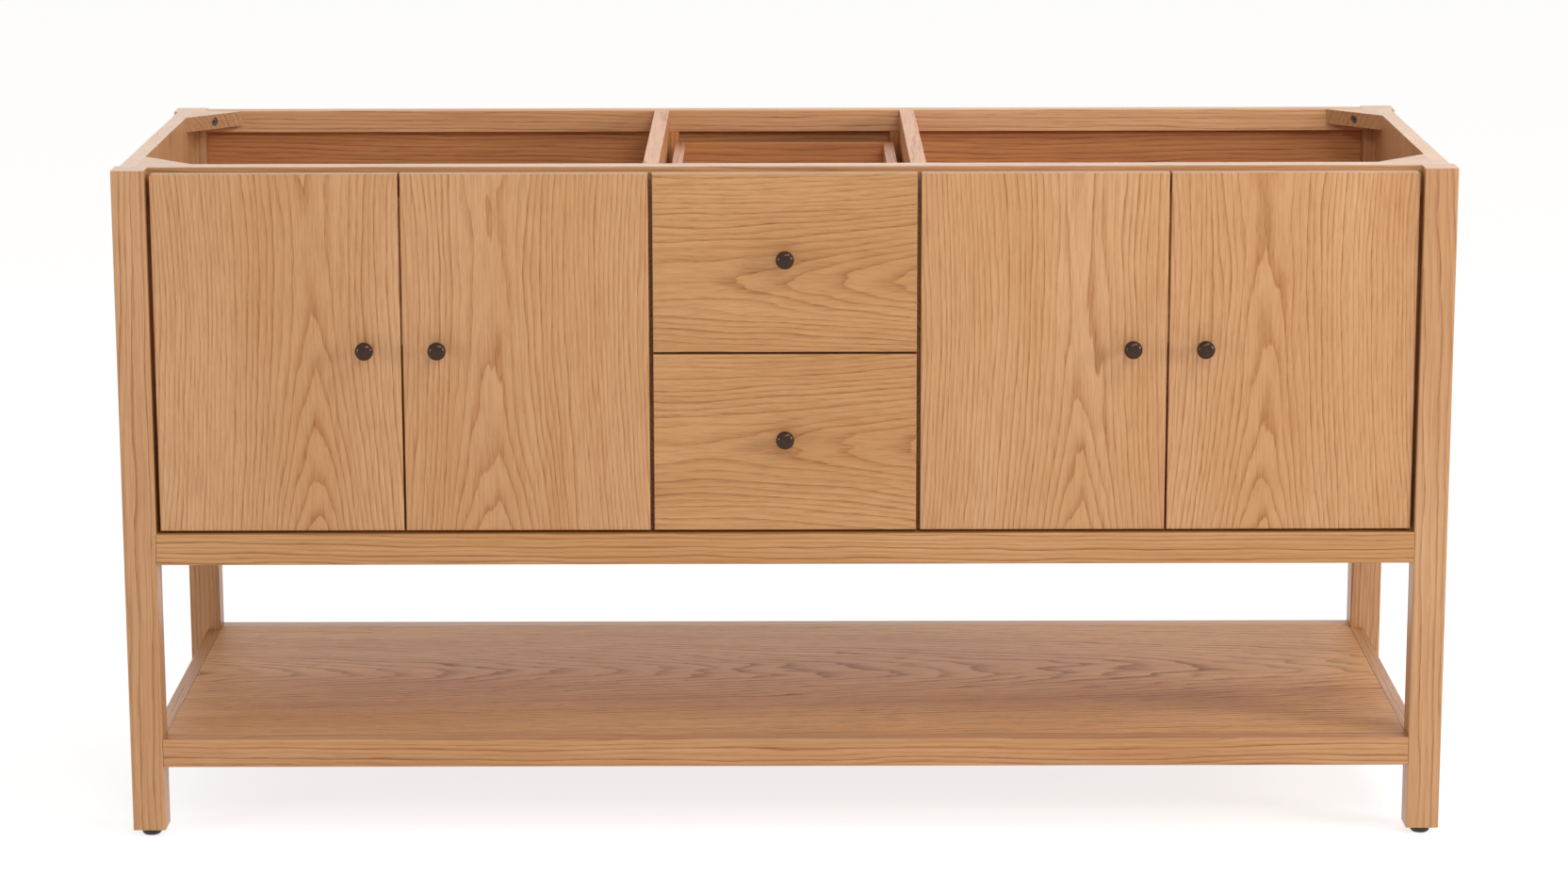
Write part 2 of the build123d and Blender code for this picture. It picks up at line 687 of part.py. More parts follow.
# Drawers: front, box, knob and the runners under the box
for name, front_low, front_high, box_top in drawers:
    box_low = box_top - box_height
    panel_low = box_low + box_recess
    panel_top = panel_low + box_bottom
    box_end = front_d1 + box_side
    with BuildPart() as front:
        front_half = drawer_front_width / 2
        slab((-front_half, front_half), (front_d0, front_d1), (front_low, front_high))
        fillet(front.faces().sort_by(Axis.Y)[0].edges(), front_ease)
    save(front, f"{name}_front")

    groove_z = (panel_low - joint_play, panel_top + joint_play)
    with BuildPart() as box_sides:
        for side, hand in sides:
            slab((hand * box_inner, hand * box_outer), (front_d1, box_rear), (box_low, box_top))
            groove_x = (hand * box_inner, hand * (box_inner + box_groove + joint_play))
            groove_d = (box_end - box_groove - joint_play, box_rear)
            slab(groove_x, groove_d, groove_z, Mode.SUBTRACT)
    save(box_sides, f"{name}_box_sides")

    with BuildPart() as box_ends:
        slab((-box_inner, box_inner), (front_d1, box_end), (box_low, box_top))
        groove_d = (box_end - box_groove - joint_play, box_end)
        slab((-box_inner, box_inner), groove_d, groove_z, Mode.SUBTRACT)
        slab((-box_inner, box_inner), (box_rear - box_side, box_rear), (panel_top, box_top))
    save(box_ends, f"{name}_box_ends")

    with BuildPart() as box_panel:
        panel_half = box_inner + box_groove
        slab((-panel_half, panel_half), (box_end - box_groove, box_rear), (panel_low, panel_top))
    save(box_panel, f"{name}_box_bottom")

    save(turned_knob(0, (front_low + front_high) / 2 + knob_rise), f"{name}_knob")

    channel_low = box_low - runner_drop + runner_fit
    top_channel = panel_low
    middle_channel = top_channel - runner_wall - runner_fit
    with BuildPart() as drawer_members:
        with BuildSketch(runner_plane(runner_front)):
            for side, hand in sides:
                channel(hand * runner_x, channel_low, top_channel, outer_width, runner_wall)
        extrude(amount=-runner_length)
    save(drawer_members, f"{name}_runner_members")

    with BuildPart() as middle_members:
        with BuildSketch(runner_plane(runner_front)):
            for side, hand in sides:
                channel(hand * runner_x, channel_low, middle_channel, middle_width, runner_wall)
        extrude(amount=-runner_length)
    save(middle_members, f"{name}_runner_middles")

# Fixed runner members: a flange on the partition, a web below the box and a core channel
with BuildPart() as runner_cabinet_members:
    for name, front_low, front_high, box_top in drawers:
        box_low = box_top - box_height
        core_low = box_low - runner_drop
        core_top = box_low + box_recess - 2 * (runner_wall + runner_fit)
        with BuildSketch(runner_plane(runner_front)):
            for side, hand in sides:
                channel(hand * runner_x, core_low, core_top, runner_core, runner_wall)
                web_end = runner_x - outer_width / 2
                web_x = (drawer_bay_face + web_end) / 2
                with Locations((hand * web_x, core_low - runner_wall / 2)):
                    Rectangle(drawer_bay_face - web_end, runner_wall)
                flange_x = drawer_bay_face - runner_wall / 2
                with Locations((hand * flange_x, core_low - runner_wall)):
                    Rectangle(runner_wall, runner_flange, align=(Align.CENTER, Align.MIN))
        extrude(amount=-runner_length)
save(runner_cabinet_members, "runner_cabinet_members")
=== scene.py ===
import math

import bpy
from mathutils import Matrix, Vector


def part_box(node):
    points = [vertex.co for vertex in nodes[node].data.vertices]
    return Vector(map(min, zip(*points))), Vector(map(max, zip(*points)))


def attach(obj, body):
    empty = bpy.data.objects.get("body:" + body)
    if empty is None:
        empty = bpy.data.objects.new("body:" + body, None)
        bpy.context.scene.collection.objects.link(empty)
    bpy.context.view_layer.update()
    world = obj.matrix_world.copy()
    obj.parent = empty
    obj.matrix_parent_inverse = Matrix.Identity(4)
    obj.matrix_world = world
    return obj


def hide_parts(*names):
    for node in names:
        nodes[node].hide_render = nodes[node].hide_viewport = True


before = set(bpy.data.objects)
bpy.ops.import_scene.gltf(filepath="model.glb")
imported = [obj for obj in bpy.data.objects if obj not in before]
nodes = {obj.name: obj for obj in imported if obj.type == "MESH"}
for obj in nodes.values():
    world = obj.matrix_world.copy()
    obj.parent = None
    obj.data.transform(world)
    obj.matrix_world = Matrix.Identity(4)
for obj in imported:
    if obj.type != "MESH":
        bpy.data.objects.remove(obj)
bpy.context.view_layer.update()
scene = bpy.context.scene
scene.view_settings.view_transform = "Standard"
print("frame loaded:", len(nodes), "nodes")

mmPerMetre = 1000


def mm(*values):
    lengths = [value / mmPerMetre for value in values]
    return lengths[0] if len(lengths) == 1 else Vector(lengths)


# sRGB hex to a linear colour
def hexColour(code):
    channels = [int(code[i:i + 2], 16) / 255 for i in (1, 3, 5)]
    linear = [c / 12.92 if c <= 0.04045 else ((c + 0.055) / 1.055) ** 2.4 for c in channels]
    return (*linear, 1.0)


# adds one node: settings are its properties, values go to its sockets as a constant or a link
def addNode(tree, kind, values=None, **settings):
    node = tree.nodes.new(kind)
    for key, value in settings.items():
        setattr(node, key, value)
    for key, value in (values or {}).items():
        if isinstance(value, bpy.types.NodeSocket):
            tree.links.new(value, node.inputs[key])
        else:
            node.inputs[key].default_value = value
    return node


# stops are pairs of place and colour, or place and grey level
def setRamp(ramp, stops):
    elements = ramp.color_ramp.elements
    while len(elements) < len(stops):
        elements.new(0.5)
    for element, (place, colour) in zip(elements, stops):
        element.position = place
        element.color = colour if isinstance(colour, tuple) else (colour, colour, colour, 1.0)


def newMaterial(name):
    material = bpy.data.materials.new(name)
    material.use_nodes = True
    return material, material.node_tree, material.node_tree.nodes["Principled BSDF"]


# natural white oak under a matt clear lacquer: warm straw wood, darker porous lines at each year ring
# gloss is the roughness of pale and of dark wood, bow is how far the log bends in mm at bowReach
oakFinishes = {
    "front": {"light": "#CF9F72", "deep": "#C3905F", "line": "#98591F", "contrast": 0.7,
              "gloss": (0.4, 0.54), "coat": 0.2, "bow": 7.0},
    "drawer": {"light": "#CA9864", "deep": "#BB8750", "line": "#8C4E18", "contrast": 0.64,
               "gloss": (0.4, 0.54), "coat": 0.2, "bow": 7.0},
    "frame": {"light": "#CD9C6E", "deep": "#BE8A5B", "line": "#8C501E", "contrast": 0.56,
              "gloss": (0.4, 0.54), "coat": 0.18, "bow": 0.2},
    # panel: paler than the frame oak, as painted light that lifts the inner faces out of the cabinet's
    # shade; the outer faces share it
    "panel": {"light": "#DCAC7E", "deep": "#CC9968", "line": "#8D511F", "contrast": 0.56,
              "gloss": (0.4, 0.54), "coat": 0.18, "bow": 7.0},
    # apron: darker than the frame oak, as painted shade for the apron sitting under the doors
    "apron": {"light": "#CA9864", "deep": "#BB8750", "line": "#8C4E18", "contrast": 0.9,
              "gloss": (0.4, 0.54), "coat": 0.2, "bow": 0.2},
    "leg": {"light": "#D0A274", "deep": "#C29062", "line": "#8F5220", "contrast": 0.56,
            "gloss": (0.4, 0.54), "coat": 0.18, "bow": 0.2},
    "edge": {"light": "#CD9C6E", "deep": "#BE8A5B", "line": "#8C501E", "contrast": 0.8,
             "gloss": (0.54, 0.66), "coat": 0.04, "bow": 0.2},
    # rail: the rear top rail, paler than the frame oak, as painted light on a board that sits in the
    # cabinet's shade
    "rail": {"light": "#E6B588", "deep": "#D59F6D", "line": "#8C501E", "contrast": 0.5,
             "gloss": (0.54, 0.66), "coat": 0.04, "bow": 0.2},
    # inside: interior oak, redder and deeper than the rest as painted shade of the cabinet's inside, and
    # lifted a little paler as painted light
    "inside": {"light": "#D8975D", "deep": "#C5804D", "line": "#7C4320", "contrast": 0.62,
               "gloss": (0.48, 0.62), "coat": 0.08, "bow": 0.5},
    # shelf: much paler than the frame oak, as painted light that makes up for the shade under the cabinet
    "shelf": {"light": "#E9B57A", "deep": "#D69C61", "line": "#80441C", "contrast": 0.82,
              "gloss": (0.54, 0.66), "coat": 0.04, "bow": 0.4},
}

oakGrain = {
    "ringWidth": 5.2,  # mm between year rings
    "sway": {"wobble": 9.0, "jitter": 2.6},  # mm that the rings move aside
    # mm: size of each pattern across and along the grain, then a shift that keeps the patterns apart
    "wobble": (62, 340, 3.1),
    "jitter": (15, 120, 7.7),
    "streak": (2.3, 150, 5.3),  # paler and darker bands inside a ring
    "pore": (1.0, 32, 0.0),  # drawn coarser than real pores, which are too fine to show
    "tone": (90, 520, 12.9),
    "detail": 2.0,
    "poreDetail": 1.0,
    "noiseRoughness": 0.55,
    "bowReach": 200,  # mm from the middle of a board at which the log is bent by its finish's bow
    "ringShade": ((0.0, 0.1), (0.05, 1.0), (0.17, 0.7), (0.38, 0.24), (0.7, 0.05), (1.0, 0.1)),
    "yearShare": (0.6, 0.4),  # of a line's darkness: what changes from year to year, and what stays
    "poreShare": (0.7, 0.3),  # of the pores: those in the lines, and those all over
    "poreStops": ((0.52, 0.0), (0.64, 1.0)),
    "streakStops": ((0.42, 0.0), (0.7, 1.0)),
    "toneStops": (0.3, 0.68),
    "streakDepth": 0.27,
    "poreDepth": 0.34,
    "lineRelief": 0.5,  # depth of a line against that of a pore
    "bumpDepth": 0.15,  # mm
    "bumpStrength": 0.6,
    "ior": 1.5,
    "coatRoughness": 0.28,
}

grainTurn = {"X": (0, 90, 0), "Y": (90, 0, 0), "Z": (0, 0, 0)}
seedSteps = (3.7, 0.7)  # from board to board, and of the second coordinate against the first


# pith is the centre line of the log in mm from the middle of the board, tilt in degrees leans it
def oakMaterial(name, finish, axis, middle, pith, tilt, seed):
    look = oakFinishes[finish]
    material, tree, shader = newMaterial(name)
    turn = [math.radians(a + b) for a, b in zip(grainTurn[axis], tilt)]
    coords = addNode(tree, "ShaderNodeTexCoord")
    place = tuple(middle[i] + mm(pith[i]) for i in range(3))
    log = addNode(tree, "ShaderNodeMapping", {
        "Vector": coords.outputs["Object"], "Location": place, "Rotation": turn}, vector_type="TEXTURE")
    spot = log.outputs["Vector"]

    def grainNoise(pattern, detail=oakGrain["detail"]):
        across, along, shift = oakGrain[pattern]
        acrossScale, alongScale = mmPerMetre / across, mmPerMetre / along
        scaled = addNode(tree, "ShaderNodeVectorMath", {
            0: spot, 1: (acrossScale, acrossScale, alongScale),
            2: (seed + shift, seed * seedSteps[1], shift)}, operation="MULTIPLY_ADD")
        noise = addNode(tree, "ShaderNodeTexNoise", {
            "Vector": scaled.outputs["Vector"], "Scale": 1.0, "Detail": detail,
            "Roughness": oakGrain["noiseRoughness"]})
        return noise.outputs["Fac"]

    def calc(operation, a, b=0.0, c=0.0):
        return addNode(tree, "ShaderNodeMath", {0: a, 1: b, 2: c}, operation=operation).outputs[0]

    # age counts the years from the pith: radius, less the bend of the log, with the rings' sway
    flat = addNode(tree, "ShaderNodeVectorMath", {0: spot, 1: (1, 1, 0)}, operation="MULTIPLY")
    radius = addNode(tree, "ShaderNodeVectorMath", {0: flat.outputs["Vector"]}, operation="LENGTH")
    age = calc("DIVIDE", radius.outputs["Value"], mm(oakGrain["ringWidth"]))
    height = addNode(tree, "ShaderNodeSeparateXYZ", {"Vector": spot}).outputs["Z"]
    bend = look["bow"] / oakGrain["ringWidth"] / mm(oakGrain["bowReach"]) ** 2
    age = calc("MULTIPLY_ADD", calc("MULTIPLY", height, height), -bend, age)
    for pattern, sway in oakGrain["sway"].items():
        swayRings = 2 * sway / oakGrain["ringWidth"]
        age = calc("MULTIPLY_ADD", calc("SUBTRACT", grainNoise(pattern), 0.5), swayRings, age)

    early = addNode(tree, "ShaderNodeValToRGB", {"Fac": calc("FRACT", age)})
    setRamp(early, oakGrain["ringShade"])
    year = addNode(tree, "ShaderNodeTexWhiteNoise", {"W": calc("FLOOR", age)}, noise_dimensions="1D")
    ringDepth = calc("MULTIPLY_ADD", year.outputs["Value"], *oakGrain["yearShare"])
    dark = calc("MULTIPLY", early.outputs["Color"], ringDepth)
    poreNoise = addNode(tree, "ShaderNodeValToRGB", {"Fac": grainNoise("pore", oakGrain["poreDetail"])})
    setRamp(poreNoise, oakGrain["poreStops"])
    pores = calc("MULTIPLY", poreNoise.outputs["Color"], calc("MULTIPLY_ADD", dark, *oakGrain["poreShare"]))
    streaks = addNode(tree, "ShaderNodeValToRGB", {"Fac": grainNoise("streak")})
    setRamp(streaks, oakGrain["streakStops"])
    tone = addNode(tree, "ShaderNodeValToRGB", {"Fac": grainNoise("tone")})
    setRamp(tone, tuple(zip(oakGrain["toneStops"], (hexColour(look["deep"]), hexColour(look["light"])))))
    shade = calc("MULTIPLY", dark, look["contrast"])
    shade = calc("MULTIPLY_ADD", streaks.outputs["Color"], oakGrain["streakDepth"], shade)
    shade = calc("MULTIPLY_ADD", pores, oakGrain["poreDepth"], shade)
    wood = addNode(tree, "ShaderNodeMix", {
        "Factor": shade, "A": tone.outputs["Color"], "B": hexColour(look["line"])}, data_type="RGBA")
    smooth, rough = look["gloss"]
    relief = calc("MULTIPLY_ADD", pores, -1.0, calc("MULTIPLY", dark, -oakGrain["lineRelief"]))
    bump = addNode(tree, "ShaderNodeBump", {
        "Height": relief, "Distance": mm(oakGrain["bumpDepth"]), "Strength": oakGrain["bumpStrength"]})
    for socket, source in (("Base Color", wood.outputs["Result"]),
                           ("Roughness", calc("MULTIPLY_ADD", shade, rough - smooth, smooth)),
                           ("Normal", bump.outputs["Normal"])):
        tree.links.new(source, shader.inputs[socket])
    shader.inputs["IOR"].default_value = oakGrain["ior"]
    shader.inputs["Coat Weight"].default_value = look["coat"]
    shader.inputs["Coat Roughness"].default_value = oakGrain["coatRoughness"]
    return material


def dress(node, material):
    if not nodes[node].material_slots:
        nodes[node].data.materials.append(material)
    for slot in nodes[node].material_slots:
        slot.material = material


# each board: finish, way of the grain, log centre in mm from the board's middle, lean in degrees
oakBoards = {
    "door_outer_left": ("front", "Z", (42, 40, 0), (-2.6, 0, 0)),
    "door_inner_left": ("front", "Z", (-40, 44, 0), (-2.4, 0, 0)),
    "door_inner_right": ("front", "Z", (42, 42, 0), (-2.2, 0, 0)),
    "door_outer_right": ("front", "Z", (-31, 38, 0), (-2.8, 0, 0)),
    "drawer_upper_front": ("drawer", "X", (0, 40, -17), (0, 0, -3.2)),
    "drawer_lower_front": ("drawer", "X", (0, 44, -8), (0, 0, -3.0)),
    "front_apron": ("apron", "X", (0, 26, -92), (0, 0.25, 0.3)),
    "front_top_rail": ("frame", "X", (0, 40, -72), (0, 0.9, 0)),
    "rear_top_rail": ("rail", "X", (0, 30, -86), (0, 0.5, 0.3)),
    "rear_apron": ("frame", "X", (0, -60, -50), (0, 0, 0.8)),
    "shelf_front_stretcher": ("edge", "X", (0, 34, -82), (0, 0.3, -0.5)),
    "shelf_rear_stretcher": ("frame", "X", (0, -66, -50), (0, 0, 0.7)),
    "shelf_side_stretchers": ("frame", "Y", (0, 0, -80), (1.0, 0, 0)),
    "bottom_shelf": ("shelf", "X", (0, 30, -150), (0, 4.2, 0.5)),
    "leg_front_left": ("leg", "Z", (-62, 48, 0), (0.5, 0.4, 0)),
    "leg_front_right": ("leg", "Z", (58, 52, 0), (0.4, -0.5, 0)),
    "leg_rear_left": ("leg", "Z", (-58, -50, 0), (0.5, -0.4, 0)),
    "leg_rear_right": ("leg", "Z", (60, -46, 0), (0.4, 0.5, 0)),
    "side_panel_left": ("panel", "Z", (66, 40, 0), (0, 2.2, 0)),
    "side_panel_right": ("panel", "Z", (-66, -30, 0), (0, -2.2, 0)),
    "partition_left": ("inside", "Y", (60, 0, -40), (0, 0, 1.4)),
    "partition_right": ("inside", "Y", (-60, 0, -20), (0, 0, -1.4)),
    "hinge_posts": ("inside", "Z", (0, 90, 0), (0.6, 0, 0)),
    "corner_blocks": ("frame", "X", (0, 0, -90), (0, 1.0, 0)),
    "drawer_bay_cleats": ("inside", "Z", (0, -60, 0), (0.8, 0, 0)),
    "back_panel": ("inside", "X", (0, 64, 20), (0, 0, 1.2)),
    "cabinet_floor": ("inside", "X", (0, 20, -80), (0, 1.0, 0)),
    "interior_shelves": ("inside", "X", (0, 20, -64), (0, 1.2, 0)),
}
for drawer in ("drawer_upper", "drawer_lower"):
    oakBoards[drawer + "_box_sides"] = ("inside", "Y", (0, 0, -60), (0, 0, 0.5))
    oakBoards[drawer + "_box_ends"] = ("inside", "X", (0, 0, -70), (0, 0.8, 0))
    oakBoards[drawer + "_box_bottom"] = ("inside", "Y", (0, 0, -74), (1.4, 0, 0))

for count, (node, (finish, axis, pith, tilt)) in enumerate(oakBoards.items()):
    low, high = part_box(node)
    oak = oakMaterial("oak_" + node, finish, axis, (low + high) / 2, pith, tilt, seedSteps[0] * count)
    dress(node, oak)
print("oak boards dressed:", len(oakBoards))

# the metals and plastics: colours are worn and fresh, grain is the mark's size in mm across and along,
# nodes are words in the names of the pieces that have this finish
hardwareFinishes = {
    # oil-rubbed bronze, blackened and waxed: brown-black with a soft mottled gloss
    "oil_rubbed_bronze": {"colours": ("#2F1809", "#3B2110"), "grain": (4, 4), "metal": 0.85,
                          "roughness": (0.18, 0.26), "bump": 0.02, "coat": 0.42, "nodes": ("_knob",)},
    # nickel-plated pressed steel: warm grey with faint rolling lines
    "nickel_plated_steel": {"colours": ("#C4C0B7", "#DAD6CE"), "grain": (0.8, 22), "metal": 0.9,
                            "roughness": (0.3, 0.42), "bump": 0.01, "coat": 0.0,
                            "nodes": ("hinge_cups", "hinge_pins", "hinge_arms", "hinge_mounting_plates",
                                      "shelf_pins")},
    # zinc-plated rolled steel: cool grey with cloudy patches
    "zinc_plated_steel": {"colours": ("#B3B7BA", "#CED2D4"), "grain": (6, 30), "metal": 0.85,
                          "roughness": (0.36, 0.5), "bump": 0.01, "coat": 0.0, "nodes": ("runner",)},
    # black oxide on bolts: dark grey with a dull oiled sheen
    "black_oxide_steel": {"colours": ("#655D56", "#7D746B"), "grain": (1.5, 1.5), "metal": 0.7,
                          "roughness": (0.42, 0.55), "bump": 0.02, "coat": 0.0, "nodes": ("corner_bolts",)},
    # moulded nylon glides: near-black brown, finely textured by the mould
    "moulded_nylon": {"colours": ("#231713", "#33241E"), "grain": (1.2, 1.2), "metal": 0.0,
                      "roughness": (0.45, 0.58), "bump": 0.05, "coat": 0.0, "nodes": ("foot_glides",)},
    # cast silicone discs: cloudy and slightly yellow
    "cast_silicone": {"colours": ("#CFCBC0", "#DEDBD2"), "grain": (3, 3), "metal": 0.0,
                      "roughness": (0.3, 0.4), "bump": 0.02, "coat": 0.0, "nodes": ("door_bumpers",)},
}

hardwareMarks = {
    "detail": 3.0,
    "noiseRoughness": 0.6,
    "toneStops": (0.34, 0.66),
    "glossRange": (0.3, 0.7),
    "bumpStrength": 0.5,
    "coatShare": 0.5,  # the coat's roughness against the smoothest metal
}


def hardwareMaterial(name):
    look = hardwareFinishes[name]
    material, tree, shader = newMaterial(name)
    coords = addNode(tree, "ShaderNodeTexCoord")
    acrossScale, alongScale = (mmPerMetre / size for size in look["grain"])
    scaled = addNode(tree, "ShaderNodeVectorMath", {
        0: coords.outputs["Object"], 1: (acrossScale, alongScale, acrossScale)}, operation="MULTIPLY")
    noise = addNode(tree, "ShaderNodeTexNoise", {
        "Vector": scaled.outputs["Vector"], "Scale": 1.0, "Detail": hardwareMarks["detail"],
        "Roughness": hardwareMarks["noiseRoughness"]})
    tone = addNode(tree, "ShaderNodeValToRGB", {"Fac": noise.outputs["Fac"]})
    setRamp(tone, tuple(zip(hardwareMarks["toneStops"], map(hexColour, look["colours"]))))
    smooth, rough = look["roughness"]
    low, high = hardwareMarks["glossRange"]
    gloss = addNode(tree, "ShaderNodeMapRange", {
        "Value": noise.outputs["Fac"], "From Min": low, "From Max": high,
        "To Min": smooth, "To Max": rough})
    bump = addNode(tree, "ShaderNodeBump", {
        "Height": noise.outputs["Fac"], "Distance": mm(look["bump"]),
        "Strength": hardwareMarks["bumpStrength"]})
    for socket, source in (("Base Color", tone.outputs["Color"]), ("Roughness", gloss.outputs["Result"]),
                           ("Normal", bump.outputs["Normal"])):
        tree.links.new(source, shader.inputs[socket])
    shader.inputs["Metallic"].default_value = look["metal"]
    shader.inputs["Coat Weight"].default_value = look["coat"]
    shader.inputs["Coat Roughness"].default_value = smooth * hardwareMarks["coatShare"]
    return material


hardware = {name: hardwareMaterial(name) for name in hardwareFinishes}
for finish, look in hardwareFinishes.items():
    for node in nodes:
        if any(word in node for word in look["nodes"]):
            dress(node, hardware[finish])
print("hardware dressed")

smoothAngle = 35  # degrees: sharper edges stay crisp


# the piece becomes a finished object: place in its mesh, smooth, on its body
def finishPiece(piece, name, material, body):
    piece.name = name
    piece.data.name = name
    piece.data.materials.clear()
    piece.data.materials.append(material)
    bpy.ops.object.select_all(action="DESELECT")
    piece.select_set(True)
    bpy.context.view_layer.objects.active = piece
    bpy.ops.object.transform_apply(location=True, rotation=True, scale=True)
    bpy.ops.object.shade_smooth_by_angle(angle=math.radians(smoothAngle))
    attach(piece, body)


# a copy with its own mesh, turned so that its +Z looks along facing
def placeCopy(pattern, spot, facing, spin=0.0):
    copy = pattern.copy()
    copy.data = pattern.data.copy()
    scene.collection.objects.link(copy)
    copy.rotation_euler = Vector(facing).to_track_quat("Z", "Y").to_euler()
    copy.rotation_euler.rotate_axis("Z", spin)
    copy.location = spot
    return copy


# turned knob: radius and height above the front, in mm
knobShape = {
    "segments": 40,
    "profile": ((6.5, 0.0), (6.5, 1.4), (6.25, 2.0), (5.4, 2.5), (4.7, 3.1), (4.5, 4.0), (4.5, 13.4),
                (4.8, 14.8), (5.8, 15.7), (7.4, 16.0), (9.0, 16.05), (9.9, 16.4), (10.4, 17.0),
                (10.5, 17.8), (10.5, 19.4), (10.31, 20.82), (9.76, 22.15), (8.89, 23.29), (7.75, 24.16),
                (6.42, 24.71), (5.0, 24.9), (3.0, 24.95), (1.4, 24.98)),
}


def turnKnob():
    profile = knobShape["profile"]
    bpy.ops.object.select_all(action="DESELECT")
    bpy.ops.mesh.primitive_circle_add(
        vertices=knobShape["segments"], radius=mm(profile[0][0]), fill_type="NGON")
    knob = bpy.context.object
    bpy.ops.object.mode_set(mode="EDIT")
    bpy.ops.mesh.select_all(action="SELECT")
    for (radius, height), (nextRadius, nextHeight) in zip(profile, profile[1:]):
        bpy.ops.mesh.extrude_region_move(TRANSFORM_OT_translate={"value": (0, 0, mm(nextHeight - height))})
        grow = nextRadius / radius
        bpy.ops.transform.resize(value=(grow, grow, 1), center_override=(0, 0, mm(nextHeight)))
    bpy.ops.mesh.select_all(action="SELECT")
    bpy.ops.mesh.normals_make_consistent(inside=False)
    bpy.ops.object.mode_set(mode="OBJECT")
    return knob


knobPattern = turnKnob()
knobNodes = [node for node in nodes if node.endswith("_knob")]
for node in knobNodes:
    low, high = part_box(node)
    foot = Vector(((low.x + high.x) / 2, high.y, (low.z + high.z) / 2))
    knob = placeCopy(knobPattern, foot, (0, -1, 0))
    finishPiece(knob, node + "_turned", hardware["oil_rubbed_bronze"], node.replace("_knob", ""))
    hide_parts(node)
bpy.data.objects.remove(knobPattern)
print("knobs turned:", len(knobNodes))

squareOn = 0.9  # a face looks up or down when its normal has more than this along Z


# selects the faces of the active piece that pass the test, and leaves it in edit mode
def pickFaces(piece, test):
    bpy.ops.object.mode_set(mode="EDIT")
    bpy.ops.mesh.select_mode(type="FACE")
    bpy.ops.mesh.select_all(action="DESELECT")
    bpy.ops.object.mode_set(mode="OBJECT")
    for face in piece.data.polygons:
        face.select = test(face)
    bpy.ops.object.mode_set(mode="EDIT")


def cutRecess(head, cutters):
    bpy.ops.object.select_all(action="DESELECT")
    head.select_set(True)
    bpy.context.view_layer.objects.active = head
    for cutter in cutters:
        recess = head.modifiers.new("recess", "BOOLEAN")
        recess.operation = "DIFFERENCE"
        recess.object = cutter
        bpy.ops.object.modifier_apply(modifier=recess.name)
        bpy.data.objects.remove(cutter)
    return head


# pan-head screws with a cross recess, in mm; spin turns each one a little further, in radians
screwHead = {"radius": 3.4, "height": 1.9, "sides": 20, "rim": 0.9, "rimSteps": 3,
             "slot": 0.75, "reach": 2.1, "depth": 1.1, "spin": 0.7}


def makeScrewHead():
    height = mm(screwHead["height"])
    bpy.ops.object.select_all(action="DESELECT")
    bpy.ops.mesh.primitive_cylinder_add(
        vertices=screwHead["sides"], radius=mm(screwHead["radius"]), depth=height,
        location=(0, 0, height / 2))
    head = bpy.context.object
    bpy.ops.object.transform_apply(location=True)
    pickFaces(head, lambda face: face.normal.z > squareOn)
    bpy.ops.mesh.bevel(offset=mm(screwHead["rim"]), segments=screwHead["rimSteps"])
    bpy.ops.object.mode_set(mode="OBJECT")
    cutters = []
    for turn in (0.0, math.pi / 2):
        bpy.ops.object.select_all(action="DESELECT")
        bpy.ops.mesh.primitive_cube_add(size=1, location=(0, 0, height), rotation=(0, 0, turn))
        cutters.append(bpy.context.object)
        cutters[-1].scale = mm(2 * screwHead["reach"], screwHead["slot"], 2 * screwHead["depth"])
    return cutRecess(head, cutters)


# places in mm: depths from the front of the legs, heights from the floor
screwPlaces = {
    "legFront": -263.5,
    "hingeHeights": (441.5, 706.0),
    "hingedEdges": {"door_outer_left": (-719.5, 1), "door_inner_left": (-155.0, -1),
                    "door_inner_right": (155.0, 1), "door_outer_right": (719.5, -1)},
    "cupScrew": (27.0, 25.2, 24.0),  # in from the hinged edge, depth, above and below the hinge
    "plateScrew": (9.0, 64.0, 16.5),
    "armScrews": (11.0, (52.0, 74.0), 0.8),  # in from the hinged edge, depths, size against the others
    "frontBack": 24.0,
    "boxFrontBack": 36.5,
    "drawerScrews": {"drawer_upper": (645.0, 715.0), "drawer_lower": (440.0, 510.0)},
    "drawerScrewX": 88.0,
    "runnerScrewX": 142.25,
    "runnerHeights": (620.0, 415.0),
    "runnerDepths": (77.0, 257.0, 437.0),
    "backDepth": 535.0,
    "backEdges": (764.0, 358.5),
    "backSpacing": 172.0,
    "backSteps": 4,  # screws each side of the middle one
    "backUprights": (-152.75, 152.75),
    "backUprightHeights": (460.0, 560.0, 660.0),
}
plating = {"nickel_steel": "nickel_plated_steel", "zinc_steel": "zinc_plated_steel"}
screws = []


def screwSpot(x, depth, z):
    return mm(x, depth + screwPlaces["legFront"], z)


def addScrew(name, place, facing, body, slot, size=1.0):
    screws.append((name, screwSpot(*place), facing, body, slot, size))


